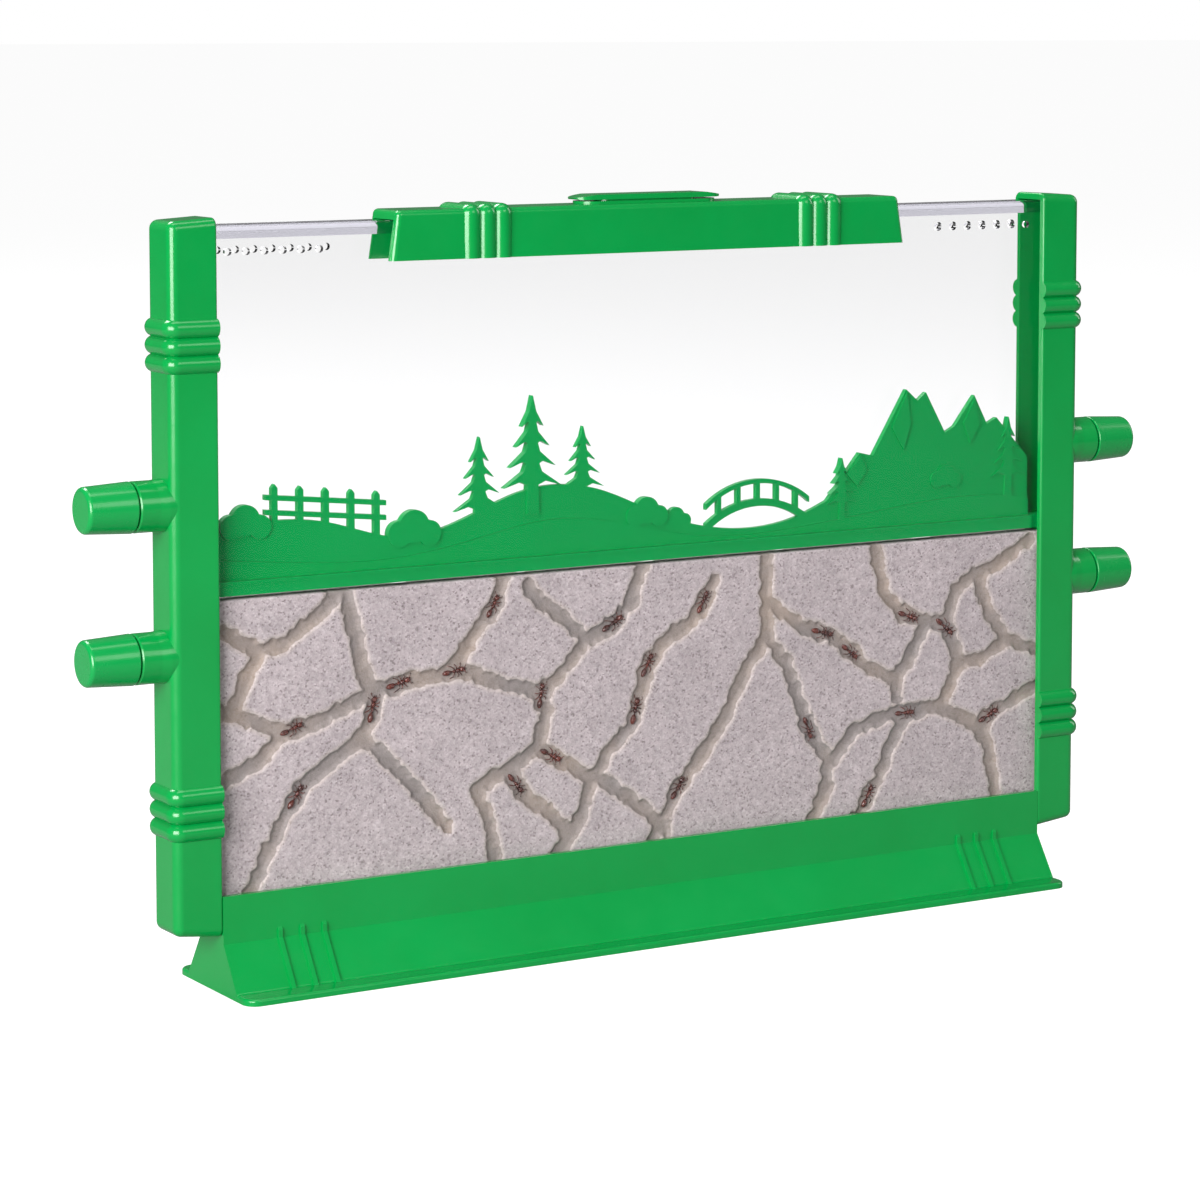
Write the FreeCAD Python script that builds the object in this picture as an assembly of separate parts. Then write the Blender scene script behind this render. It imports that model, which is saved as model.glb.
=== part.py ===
import FreeCAD, Part
import math
import os

from FreeCAD import Vector

os.makedirs("parts", exist_ok=True)

# All sizes are in millimetres.
# X runs from left to right, Y from front to back, and Z up.
# The origin is on the table, under the middle of the habitat.

# Viewing window between the posts
WINDOW_HALF_WIDTH = 114.5
BASE_TOP = 22.5
TANK_TOP = 173.2

# Side posts
POST_REACH = 11.6
POST_HALF_DEPTH = 6.06
POST_BOTTOM_INNER = 13.2
POST_BOTTOM_OUTER = 14.5
POST_TOP_INNER = 175.1
POST_TOP_OUTER = 174.4
POST_EDGE_RADIUS = 2.0
POST_LIP_RADIUS = 0.6
POST_WEB = 1.7
CHANNEL_HALF_DEPTH = 4.56
CHANNEL_BOTTOM = 14.9
CHANNEL_TOP = 173.4
SHELF_START = 118.2
SHELF_TOP = 89.95
SHELF_THICKNESS = 2.2
SHELF_HALF_DEPTH = 3.2

# Beads that wrap round the posts and over the lid
BEAD_ROOT = 0.8
POST_BEAD_WIDTH = 4.0
POST_BEAD_HEIGHT = 1.3
POST_BEAD_LEVELS = (150.7, 146.7, 142.7, 46.0, 42.0, 38.0)
LID_BEAD_WIDTH = 4.1
LID_BEAD_HEIGHT = 1.05
LID_BEAD_PLACES = (-50.2, -46.1, -42.0, 42.0, 46.1, 50.2)

# Side ports
PORT_LEVELS = (111.2, 77.2)
COLLAR_RADIUS = 5.8
COLLAR_FOOT_RADIUS = 6.0
COLLAR_END = 133.2
SPIGOT_RADIUS = 4.4
SPIGOT_END = 143.4
SPIGOT_CHAMFER = 0.4
PORT_BORE_RADIUS = 3.2

# Caps that close the ports
CAP_START = 133.6
CAP_END = 145.3
CAP_MOUTH_RADIUS = 5.85
CAP_TIP_RADIUS = 5.25
CAP_BORE_RADIUS = 4.45
CAP_END_WALL = 1.4
CAP_EDGE_RADIUS = 1.0
CAP_MOUTH_EDGE = 0.3

# Clear panels
PANEL_OUTER_FACE = 4.5
PANEL_THICKNESS = 1.2
PANEL_HALF_WIDTH = 123.6
PANEL_BOTTOM = 16.5
PANEL_SHEET_TOP = 171.5
VENT_RADIUS = 0.85
VENT_LEVEL = 167.3
VENT_PITCH = 4.55
VENT_LEFT_FIRST = -88.4
VENT_LEFT_COUNT = 6
VENT_RIGHT_FIRST = 83.0
VENT_RIGHT_COUNT = 7

# Clear strips that close the tank's top on both sides of the filling opening
STRIP_GAP = 0.05
STRIP_EDGE_RADIUS = 1.3
STRIP_TONGUE_HALF_DEPTH = 3.2
STRIP_TONGUE_BOTTOM = 170.2
FILL_OPENING_HALF = 64.0

# Base stand
FLOOR_THICKNESS = 1.6
FLOOR_BOTTOM = PANEL_BOTTOM - FLOOR_THICKNESS
TONGUE_END = 123.6
TONGUE_HALF_DEPTH = 4.5
SKIRT_KINK = 11.6
SKIRT_FOOT_Y = 12.7
LIP_HALF_DEPTH = 18.85
LIP_THICKNESS = 1.5
LIP_CORNER_RADIUS = 3.3
LIP_EDGE_RADIUS = 0.6
LIP_FILLET = 0.9
STAND_WALL = 1.5
CROSS_RIB_PLACE = 38.0
CROSS_RIB_THICKNESS = 1.4
FACE_RIB_PLACES = (-100.5, -94.9, -89.3, 89.3, 94.9, 100.5)
FACE_RIB_WIDTH = 1.1
FACE_RIB_HEIGHT = 0.6
FACE_RIB_TOP = 14.1

# Lid over the filling opening
LID_BOTTOM = 164.0
LID_TOP = 175.5
LID_HALF_LENGTH_LOW = 71.3
LID_HALF_LENGTH_HIGH = 69.6
LID_HALF_DEPTH_LOW = 6.6
LID_HALF_DEPTH_HIGH = 6.35
LID_EDGE_RADIUS = 1.3
LID_POCKET_HALF_DEPTH = 4.9
LID_POCKET_TOP = 173.35
LOCATOR_NEAR = 57.0
LOCATOR_FAR = 62.5
LOCATOR_HALF_DEPTH = 3.1
LOCATOR_BOTTOM = 168.6

# Feeding hatch in the lid
SLOT_HALF_LENGTH = 14.0
SLOT_HALF_WIDTH = 2.5
PLUG_GAP = 0.08
PLUG_BOTTOM = 170.6
HATCH_FLANGE_HALF_LENGTH = 19.0
HATCH_FLANGE_HALF_DEPTH = 4.3
HATCH_FLANGE_TOP = 176.15
HATCH_NECK_HALF_LENGTH = 13.5
HATCH_NECK_HALF_DEPTH = 3.2
HATCH_GRIP_HALF_LENGTH = 20.4
HATCH_GRIP_HALF_DEPTH = 3.9
HATCH_GRIP_BOTTOM = 176.5
HATCH_GRIP_TIP = 176.95
HATCH_GRIP_TOP = 177.7
HATCH_GRIP_FLAT = 15.3

# Landscape insert
LANDSCAPE_HALF_WIDTH = 113.8
LEDGE_BOTTOM = 90.0
LEDGE_LIP_BOTTOM = 92.4
LEDGE_TOP = 93.2
LEDGE_HALF_DEPTH = 2.95
LEDGE_LIP_HALF_DEPTH = 3.2
LEDGE_LIP_HALF_LENGTH = 110.6
TAB_END = 121.8
TAB_HALF_DEPTH = 2.6
PLATE_HALF_THICKNESS = 0.7
RELIEF_HEIGHT = 0.5
ANT_SLOT_PLACES = (-84.0, -46.0, -4.0, 34.0, 66.0, 96.0)
ANT_SLOT_LENGTH = 6.0
ANT_SLOT_DEPTH = 1.8

# Sand
SAND_HALF_WIDTH = 117.9
SAND_HALF_DEPTH = 3.25
SAND_BOTTOM = 16.55
SAND_TOP = 89.0
TUNNEL_DEPTH = 2.2
TUNNEL_WIDTH = 3.0

# Tunnel routes on the front face, each a list of X and Z points
TUNNEL_ROUTES = (
    ((-113, 82), (-104, 77), (-98, 78), (-87, 85), (-83, 90)),
    ((-104, 77), (-110, 65)),
    ((-114, 64), (-100, 59), (-95, 58), (-88, 60), (-78, 64), (-74, 65)),
    ((-113, 48), (-104, 52), (-98, 57)),
    ((-82, 90), (-79, 77), (-77, 68), (-74, 65)),
    ((-74, 65), (-68, 67), (-61, 67), (-55, 68), (-49, 67), (-41, 64), (-31, 61)),
    ((-74, 64), (-76, 58), (-79, 54), (-84, 51), (-92, 46), (-98, 38), (-102, 31), (-107, 21)),
    ((-77, 54), (-68, 46), (-62, 39), (-56, 32)),
    ((-40, 90), (-43, 83), (-46, 79), (-49, 75), (-52, 71), (-55, 68)),
    ((-31, 61), (-29, 56), (-31, 48), (-38, 44), (-48, 40), (-44, 30), (-43, 21)),
    ((-2, 90), (-6, 80), (-10, 76), (-18, 72), (-22, 68), (-26, 64), (-31, 60)),
    ((-34, 87), (-31, 83), (-23, 77), (-19, 73)),
    ((18, 84), (15, 79), (11, 74), (5, 71), (0, 66), (-4, 55), (-6, 50), (-12, 45), (-16, 39)),
    ((-31, 48), (-25, 44), (-18, 40), (-13, 38), (-6, 33), (0, 28), (4, 24)),
    ((-39, 43), (-35, 37), (-29, 32), (-22, 26)),
    ((-17, 38), (-19, 31), (-22, 26), (-27, 21)),
    ((33, 90), (33, 77), (33, 69), (27, 61), (21, 50), (14, 41), (9, 35), (3, 26), (0, 21)),
    ((33, 69), (39, 62), (42, 54), (46, 44), (51, 37), (51, 29), (46, 21)),
    ((34, 77), (44, 70), (52, 68), (58, 63), (64, 58), (72, 55)),
    ((65, 90), (66, 85), (68, 77), (74, 71), (81, 69), (87, 67)),
    ((87, 67), (90, 76), (95, 79), (102, 81), (113, 87)),
    ((97, 78), (100, 70), (106, 62), (98, 58), (90, 57)),
    ((106, 62), (117, 58)),
    ((81, 69), (76, 60), (72, 55), (72, 50)),
    ((87, 67), (91, 57), (88, 51), (86, 47), (76, 46), (69, 46), (59, 43), (53, 36)),
    ((75, 46), (70, 38), (67, 31), (63, 25), (60, 21)),
    ((86, 46), (95, 42), (100, 37), (103, 23)),
    ((117, 50), (107, 46), (101, 43), (98, 38)),
)

# Each ant lies at X and Z, turned by an angle in degrees from the X direction
ANT_PLACES = (
    (-43.2, 82.3, 60), (-68.2, 66.4, 15), (-53.6, 67.9, 8), (-30.3, 60.0, 80),
    (-95.6, 58.4, 20), (-75.0, 61.0, 75), (-94.8, 42.7, 55), (-27.6, 45.6, -28),
    (-37.2, 39.8, -50), (-0.9, 64.7, 62), (-4.3, 53.9, 75), (7.8, 33.9, 55),
    (-10.6, 75.6, 30), (14.9, 78.7, 62), (45.6, 45.0, -68), (49.8, 68.4, -15),
    (58.0, 62.9, -38), (75.6, 70.4, -20), (86.9, 66.8, -40), (74.8, 46.0, 0),
    (100.8, 42.9, 25), (63.6, 26.0, 60),
)
ANT_LEVEL_Y = -2.1
ANT_HOLLOW_HALF_LENGTH = 1.9
ANT_HOLLOW_WIDTH = 3.9

# How closely an edge must lie on a plane to count as lying on it
NEAR = 0.02

UP = Vector(0, 0, 1)
RIGHT = Vector(1, 0, 0)
BACK = Vector(0, 1, 0)
MIDDLE = Vector(0, 0, 0)

POST_OUTER = WINDOW_HALF_WIDTH + POST_REACH
CHANNEL_END = POST_OUTER - POST_WEB


def save(shape, name):
    clean = shape.removeSplitter()
    clean.exportStep("parts/" + name + ".step")


def block(x0, x1, y0, y1, z0, z1):
    return Part.makeBox(x1 - x0, y1 - y0, z1 - z0, Vector(x0, y0, z0))


def prism_along_y(points, y0, y1):
    corners = [Vector(x, y0, z) for x, z in points]
    wire = Part.makePolygon(corners + [corners[0]])
    return Part.Face(wire).extrude(BACK * (y1 - y0))


def prism_along_x(points, x0, x1):
    corners = [Vector(x0, y, z) for y, z in points]
    wire = Part.makePolygon(corners + [corners[0]])
    return Part.Face(wire).extrude(RIGHT * (x1 - x0))


def stadium(half_length, half_depth, z0, z1):
    straight = half_length - half_depth
    middle = block(-straight, straight, -half_depth, half_depth, z0, z1)
    left = Part.makeCylinder(half_depth, z1 - z0, Vector(-straight, 0, z0))
    right = Part.makeCylinder(half_depth, z1 - z0, Vector(straight, 0, z0))
    return middle.multiFuse([left, right]).removeSplitter()


def turned_about_x(profile, z):
    corners = [Vector(x, 0, z + r) for x, r in profile]
    wire = Part.makePolygon(corners + [corners[0]])
    return Part.Face(wire).revolve(Vector(0, 0, z), RIGHT, 360)


def mirrored(shape):
    return shape.mirror(MIDDLE, RIGHT)


def edges_where(shape, test):
    return [edge for edge in shape.Edges if test(edge)]


def lies_at(edge, axis, value):
    low = getattr(edge.BoundBox, axis + "Min")
    high = getattr(edge.BoundBox, axis + "Max")
    return abs(low - value) < NEAR and abs(high - value) < NEAR


# Half-round bead that wraps round three sides of a bar


def bead_face(place, outward, width, height):
    low = place - UP * (width / 2)
    top = place + UP * (width / 2)
    crest = place + outward * height
    root_top = top - outward * BEAD_ROOT
    root_low = low - outward * BEAD_ROOT
    curve = Part.Arc(low, crest, top).toShape()
    inside = Part.makePolygon([top, root_top, root_low, low])
    return Part.Face(Part.Wire([curve] + inside.Edges))


def bead_band(reach, half_depth, corner, width, height):
    front = bead_face(Vector(0, -half_depth, 0), -BACK, width, height)
    side = bead_face(Vector(reach, corner - half_depth, 0), RIGHT, width, height)
    back = bead_face(Vector(0, half_depth, 0), BACK, width, height)
    turn = bead_face(Vector(reach - corner, -half_depth, 0), -BACK, width, height)
    far_turn = bead_face(Vector(reach, half_depth - corner, 0), RIGHT, width, height)
    near_centre = Vector(reach - corner, corner - half_depth, 0)
    far_centre = Vector(reach - corner, half_depth - corner, 0)
    pieces = [
        side.extrude(BACK * (2 * (half_depth - corner))),
        back.extrude(RIGHT * (reach - corner)),
        turn.revolve(near_centre, UP, 90),
        far_turn.revolve(far_centre, UP, 90),
    ]
    return front.extrude(RIGHT * (reach - corner)).multiFuse(pieces)


# Side posts with their ports


def post_shell():
    outline = (
        (WINDOW_HALF_WIDTH, POST_BOTTOM_INNER),
        (POST_OUTER, POST_BOTTOM_OUTER),
        (POST_OUTER, POST_TOP_OUTER),
        (WINDOW_HALF_WIDTH, POST_TOP_INNER),
    )
    bar = prism_along_y(outline, -POST_HALF_DEPTH, POST_HALF_DEPTH)
    rounded = edges_where(bar, lambda e: not lies_at(e, "X", WINDOW_HALF_WIDTH))
    bar = bar.makeFillet(POST_EDGE_RADIUS, rounded)
    channel = block(
        WINDOW_HALF_WIDTH - 1, CHANNEL_END,
        -CHANNEL_HALF_DEPTH, CHANNEL_HALF_DEPTH,
        CHANNEL_BOTTOM, CHANNEL_TOP,
    )
    return bar.cut(channel)


def soften_flange_edges(shell):
    def long_inner_edge(edge):
        tall = edge.BoundBox.ZLength > 0.9 * (CHANNEL_TOP - CHANNEL_BOTTOM)
        outside = abs(abs(edge.BoundBox.YMin) - POST_HALF_DEPTH) < NEAR
        return tall and outside and lies_at(edge, "X", WINDOW_HALF_WIDTH)

    return shell.makeFillet(POST_LIP_RADIUS, edges_where(shell, long_inner_edge))


def post_beads():
    beads = []
    for level in POST_BEAD_LEVELS:
        bead = bead_band(
            POST_REACH, POST_HALF_DEPTH, POST_EDGE_RADIUS,
            POST_BEAD_WIDTH, POST_BEAD_HEIGHT,
        )
        bead.translate(Vector(WINDOW_HALF_WIDTH, 0, level))
        beads.append(bead)
    return beads


def port_body(level):
    profile = (
        (CHANNEL_END, 0),
        (CHANNEL_END, COLLAR_FOOT_RADIUS),
        (POST_OUTER + 0.2, COLLAR_FOOT_RADIUS),
        (POST_OUTER + 2.4, COLLAR_RADIUS),
        (COLLAR_END - 0.3, COLLAR_RADIUS),
        (COLLAR_END, COLLAR_RADIUS - 0.3),
        (COLLAR_END, SPIGOT_RADIUS),
        (SPIGOT_END - SPIGOT_CHAMFER, SPIGOT_RADIUS),
        (SPIGOT_END, SPIGOT_RADIUS - SPIGOT_CHAMFER),
        (SPIGOT_END, 0),
    )
    return turned_about_x(profile, level)


def port_bore(level):
    start = Vector(CHANNEL_END - 1, 0, level)
    return Part.makeCylinder(PORT_BORE_RADIUS, SPIGOT_END - CHANNEL_END + 2, start, RIGHT)


def insert_shelf():
    return block(
        SHELF_START, CHANNEL_END + 0.2,
        -SHELF_HALF_DEPTH, SHELF_HALF_DEPTH,
        SHELF_TOP - SHELF_THICKNESS, SHELF_TOP,
    )


def right_post():
    shell = soften_flange_edges(post_shell())
    added = post_beads() + [port_body(level) for level in PORT_LEVELS] + [insert_shelf()]
    post = shell.multiFuse(added)
    return post.cut([port_bore(level) for level in PORT_LEVELS])


# Port caps


def right_cap(level):
    inner_end = CAP_END - CAP_END_WALL
    profile = (
        (CAP_START, CAP_BORE_RADIUS),
        (CAP_START, CAP_MOUTH_RADIUS),
        (CAP_END, CAP_TIP_RADIUS),
        (CAP_END, 0),
        (inner_end, 0),
        (inner_end, CAP_BORE_RADIUS),
    )
    cap = turned_about_x(profile, level)
    tip = edges_where(cap, lambda e: lies_at(e, "X", CAP_END))
    cap = cap.makeFillet(CAP_EDGE_RADIUS, tip)

    def outer_mouth_edge(edge):
        wide = edge.BoundBox.ZMax - level > CAP_BORE_RADIUS + 0.5
        return wide and lies_at(edge, "X", CAP_START)

    return cap.makeFillet(CAP_MOUTH_EDGE, edges_where(cap, outer_mouth_edge))


# Clear panels


def vent_centres():
    left = [VENT_LEFT_FIRST - i * VENT_PITCH for i in range(VENT_LEFT_COUNT)]
    right = [VENT_RIGHT_FIRST + i * VENT_PITCH for i in range(VENT_RIGHT_COUNT)]
    return left + right


def front_panel():
    sheet = block(
        -PANEL_HALF_WIDTH, PANEL_HALF_WIDTH,
        -PANEL_OUTER_FACE, PANEL_THICKNESS - PANEL_OUTER_FACE,
        PANEL_BOTTOM, PANEL_SHEET_TOP,
    )
    vents = []
    for x in vent_centres():
        start = Vector(x, -PANEL_OUTER_FACE - 1, VENT_LEVEL)
        vents.append(Part.makeCylinder(VENT_RADIUS, PANEL_THICKNESS + 2, start, BACK))
    return sheet.cut(vents)


def rear_panel():
    panel = front_panel()
    panel.rotate(MIDDLE, UP, 180)
    return panel


def right_top_strip():
    bar = block(
        FILL_OPENING_HALF, PANEL_HALF_WIDTH,
        -PANEL_OUTER_FACE, PANEL_OUTER_FACE,
        PANEL_SHEET_TOP + STRIP_GAP, TANK_TOP,
    )

    def crown_edge(edge):
        return edge.BoundBox.XLength > 1 and lies_at(edge, "Z", TANK_TOP)

    bar = bar.makeFillet(STRIP_EDGE_RADIUS, edges_where(bar, crown_edge))
    tongue = block(
        FILL_OPENING_HALF, PANEL_HALF_WIDTH,
        -STRIP_TONGUE_HALF_DEPTH, STRIP_TONGUE_HALF_DEPTH,
        STRIP_TONGUE_BOTTOM, TANK_TOP - 1,
    )
    return bar.fuse(tongue)


# Base stand


def stand_outer():
    outline = (
        (-SKIRT_FOOT_Y, 0.5),
        (SKIRT_FOOT_Y, 0.5),
        (SKIRT_FOOT_Y, LIP_THICKNESS),
        (POST_HALF_DEPTH, SKIRT_KINK),
        (POST_HALF_DEPTH, BASE_TOP),
        (-POST_HALF_DEPTH, BASE_TOP),
        (-POST_HALF_DEPTH, SKIRT_KINK),
        (-SKIRT_FOOT_Y, LIP_THICKNESS),
    )
    body = prism_along_x(outline, -WINDOW_HALF_WIDTH, WINDOW_HALF_WIDTH)
    lip = block(
        -WINDOW_HALF_WIDTH, WINDOW_HALF_WIDTH,
        -LIP_HALF_DEPTH, LIP_HALF_DEPTH, 0, LIP_THICKNESS,
    )
    upright = edges_where(lip, lambda e: e.BoundBox.ZLength > LIP_THICKNESS - 0.1)
    lip = lip.makeFillet(LIP_CORNER_RADIUS, upright)
    lip = lip.makeFillet(LIP_EDGE_RADIUS, edges_where(lip, lambda e: lies_at(e, "Z", LIP_THICKNESS)))
    return body.fuse(lip).removeSplitter()


def soften_skirt_foot(stand):
    def foot_edge(edge):
        at_foot = abs(abs(edge.BoundBox.YMin) - SKIRT_FOOT_Y) < NEAR
        long_edge = edge.BoundBox.XLength > WINDOW_HALF_WIDTH
        return at_foot and long_edge and lies_at(edge, "Z", LIP_THICKNESS)

    return stand.makeFillet(LIP_FILLET, edges_where(stand, foot_edge))


def underside_pocket(x0, x1):
    run = SKIRT_FOOT_Y - POST_HALF_DEPTH
    rise = SKIRT_KINK - LIP_THICKNESS
    slope_length = math.hypot(run, rise)
    inset_y = STAND_WALL * slope_length / rise
    bottom_y = SKIRT_FOOT_Y - inset_y + LIP_THICKNESS * run / rise
    knee_y = CHANNEL_HALF_DEPTH
    knee_z = (bottom_y - knee_y) * rise / run
    outline = (
        (-bottom_y - run / rise, -1),
        (bottom_y + run / rise, -1),
        (knee_y, knee_z),
        (knee_y, FLOOR_BOTTOM),
        (-knee_y, FLOOR_BOTTOM),
        (-knee_y, knee_z),
    )
    return prism_along_x(outline, x0, x1)


def underside_pockets():
    end = WINDOW_HALF_WIDTH - STAND_WALL
    rib_near = CROSS_RIB_PLACE - CROSS_RIB_THICKNESS / 2
    rib_far = CROSS_RIB_PLACE + CROSS_RIB_THICKNESS / 2
    spans = ((-end, -rib_far), (-rib_near, rib_near), (rib_far, end))
    return [underside_pocket(x0, x1) for x0, x1 in spans]


def face_rib(x):
    run = SKIRT_FOOT_Y - POST_HALF_DEPTH
    rise = SKIRT_KINK - LIP_THICKNESS
    lift = FACE_RIB_HEIGHT * math.hypot(run, rise) / rise
    outline = (
        (-POST_HALF_DEPTH + 0.5, FACE_RIB_TOP),
        (-POST_HALF_DEPTH, FACE_RIB_TOP),
        (-POST_HALF_DEPTH - FACE_RIB_HEIGHT, FACE_RIB_TOP - FACE_RIB_HEIGHT),
        (-POST_HALF_DEPTH - FACE_RIB_HEIGHT, SKIRT_KINK + 0.15),
        (-SKIRT_FOOT_Y - lift, LIP_THICKNESS),
        (-SKIRT_FOOT_Y - lift, LIP_THICKNESS - 0.5),
        (-SKIRT_FOOT_Y + 0.5, LIP_THICKNESS - 0.5),
        (-POST_HALF_DEPTH + 0.5, SKIRT_KINK - 0.3),
    )
    return prism_along_x(outline, x - FACE_RIB_WIDTH / 2, x + FACE_RIB_WIDTH / 2)


def base_stand():
    stand = soften_skirt_foot(stand_outer())
    ribs = []
    for x in FACE_RIB_PLACES:
        rib = face_rib(x)
        ribs.append(rib)
        ribs.append(rib.mirror(MIDDLE, BACK))
    tongue = block(
        -TONGUE_END, TONGUE_END,
        -TONGUE_HALF_DEPTH, TONGUE_HALF_DEPTH,
        FLOOR_BOTTOM, PANEL_BOTTOM,
    )
    stand = stand.multiFuse(ribs + [tongue])
    channel = block(
        -WINDOW_HALF_WIDTH - 1, WINDOW_HALF_WIDTH + 1,
        -CHANNEL_HALF_DEPTH, CHANNEL_HALF_DEPTH,
        PANEL_BOTTOM, BASE_TOP + 1,
    )
    return stand.cut([channel] + underside_pockets())


# Lid


def lid_outer():
    def ring(half_length, half_depth, z):
        corners = [
            Vector(-half_length, -half_depth, z),
            Vector(half_length, -half_depth, z),
            Vector(half_length, half_depth, z),
            Vector(-half_length, half_depth, z),
        ]
        return Part.makePolygon(corners + [corners[0]])

    low = ring(LID_HALF_LENGTH_LOW, LID_HALF_DEPTH_LOW, LID_BOTTOM)
    high = ring(LID_HALF_LENGTH_HIGH, LID_HALF_DEPTH_HIGH, LID_TOP)
    body = Part.makeLoft([low, high], True, True)
    rounded = edges_where(body, lambda e: not lies_at(e, "Z", LID_BOTTOM))
    return body.makeFillet(LID_EDGE_RADIUS, rounded)


def lid_beads():
    beads = []
    for x in LID_BEAD_PLACES:
        bead = bead_band(
            LID_TOP - LID_BOTTOM, LID_HALF_DEPTH_LOW - 0.1, LID_EDGE_RADIUS,
            LID_BEAD_WIDTH, LID_BEAD_HEIGHT,
        )
        bead.rotate(MIDDLE, BACK, -90)
        bead.translate(Vector(x, 0, LID_BOTTOM))
        beads.append(bead)
    return beads


def lid_locator(x0, x1):
    return block(
        x0, x1, -LOCATOR_HALF_DEPTH, LOCATOR_HALF_DEPTH,
        LOCATOR_BOTTOM, LID_POCKET_TOP + 0.5,
    )


def lid():
    shape = lid_outer().multiFuse(lid_beads())
    pocket = block(
        -LID_HALF_LENGTH_LOW - 1, LID_HALF_LENGTH_LOW + 1,
        -LID_POCKET_HALF_DEPTH, LID_POCKET_HALF_DEPTH,
        LID_BOTTOM - 1, LID_POCKET_TOP,
    )
    shape = shape.cut(pocket)
    locators = [
        lid_locator(-LOCATOR_FAR, -LOCATOR_NEAR),
        lid_locator(LOCATOR_NEAR, LOCATOR_FAR),
    ]
    shape = shape.multiFuse(locators)
    return shape.cut(stadium(SLOT_HALF_LENGTH, SLOT_HALF_WIDTH, LID_POCKET_TOP - 1, LID_TOP + 2))


# Feeding hatch


def feeding_hatch():
    plug = stadium(
        SLOT_HALF_LENGTH - PLUG_GAP, SLOT_HALF_WIDTH - PLUG_GAP, PLUG_BOTTOM, LID_TOP + 0.3,
    )
    flange = stadium(
        HATCH_FLANGE_HALF_LENGTH, HATCH_FLANGE_HALF_DEPTH, LID_TOP, HATCH_FLANGE_TOP,
    )
    neck = stadium(
        HATCH_NECK_HALF_LENGTH, HATCH_NECK_HALF_DEPTH,
        HATCH_FLANGE_TOP - 0.1, HATCH_GRIP_BOTTOM + 0.3,
    )
    outline = (
        (-HATCH_GRIP_HALF_LENGTH, HATCH_GRIP_TIP),
        (-HATCH_GRIP_HALF_LENGTH + 1.2, HATCH_GRIP_BOTTOM),
        (HATCH_GRIP_HALF_LENGTH - 1.2, HATCH_GRIP_BOTTOM),
        (HATCH_GRIP_HALF_LENGTH, HATCH_GRIP_TIP),
        (HATCH_GRIP_FLAT, HATCH_GRIP_TOP),
        (-HATCH_GRIP_FLAT, HATCH_GRIP_TOP),
    )
    wedge = prism_along_y(outline, -HATCH_GRIP_HALF_DEPTH, HATCH_GRIP_HALF_DEPTH)
    plan = stadium(
        HATCH_GRIP_HALF_LENGTH, HATCH_GRIP_HALF_DEPTH, HATCH_GRIP_BOTTOM - 1, HATCH_GRIP_TOP + 1,
    )
    return plug.multiFuse([flange, neck, wedge.common(plan)])


# Landscape insert


def plate_piece(points, relief=0.0):
    return prism_along_y(points, -PLATE_HALF_THICKNESS - relief, PLATE_HALF_THICKNESS)


def plate_disc(x, z, radius, relief=0.0):
    start = Vector(x, -PLATE_HALF_THICKNESS - relief, z)
    return Part.makeCylinder(radius, 2 * PLATE_HALF_THICKNESS + relief, start, BACK)


def hill(points, relief=0.0):
    y0 = -PLATE_HALF_THICKNESS - relief
    crest_points = [Vector(x, y0, z) for x, z in points]
    curve = Part.BSplineCurve()
    curve.interpolate(crest_points)
    first = crest_points[0]
    last = crest_points[-1]
    floor = LEDGE_TOP - 1.0
    sides = Part.makePolygon([
        last, Vector(last.x, y0, floor), Vector(first.x, y0, floor), first,
    ])
    face = Part.Face(Part.Wire([curve.toShape()] + sides.Edges))
    return face.extrude(BACK * (2 * PLATE_HALF_THICKNESS + relief))


def conifer(x, foot, height, half_width, relief=0.0):
    trunk = plate_piece((
        (x - 0.07 * height, foot - 3), (x + 0.07 * height, foot - 3),
        (x + 0.05 * height, foot + 0.4 * height), (x - 0.05 * height, foot + 0.4 * height),
    ), relief)
    tiers = []
    for i in range(4):
        low = foot + height * (0.14 + 0.19 * i)
        high = min(low + height * 0.40, foot + height)
        half = half_width * (1.0 - 0.21 * i)
        tiers.append(plate_piece((
            (x - half, low), (x - 0.45 * half, low + 0.05 * height),
            (x, low - 0.01 * height), (x + 0.45 * half, low + 0.05 * height),
            (x + half, low), (x + 0.32 * half, low + 0.14 * height), (x, high),
            (x - 0.32 * half, low + 0.14 * height),
        ), relief))
    return trunk.multiFuse(tiers)


def bush(x, foot, size, relief=0.0):
    left = plate_disc(x - 0.75 * size, foot + 0.25 * size, 0.62 * size, relief)
    middle = plate_disc(x, foot + 0.55 * size, 0.78 * size, relief)
    right = plate_disc(x + 0.8 * size, foot + 0.2 * size, 0.6 * size, relief)
    return left.multiFuse([middle, right])


def rail_fence(x0, x1, foot0, foot1, count):
    pieces = []
    for i in range(count):
        share = i / (count - 1)
        x = x0 + share * (x1 - x0)
        foot = foot0 + share * (foot1 - foot0)
        pieces.append(plate_piece((
            (x - 0.75, foot - 3), (x + 0.75, foot - 3),
            (x + 0.75, foot + 8.0), (x, foot + 8.9), (x - 0.75, foot + 8.0),
        )))
    for height in (2.6, 6.0):
        pieces.append(plate_piece((
            (x0 - 2.4, foot0 + height - 0.6), (x1 + 2.4, foot1 + height - 0.6),
            (x1 + 2.4, foot1 + height + 0.6), (x0 - 2.4, foot0 + height + 0.6),
        )))
    return pieces


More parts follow.
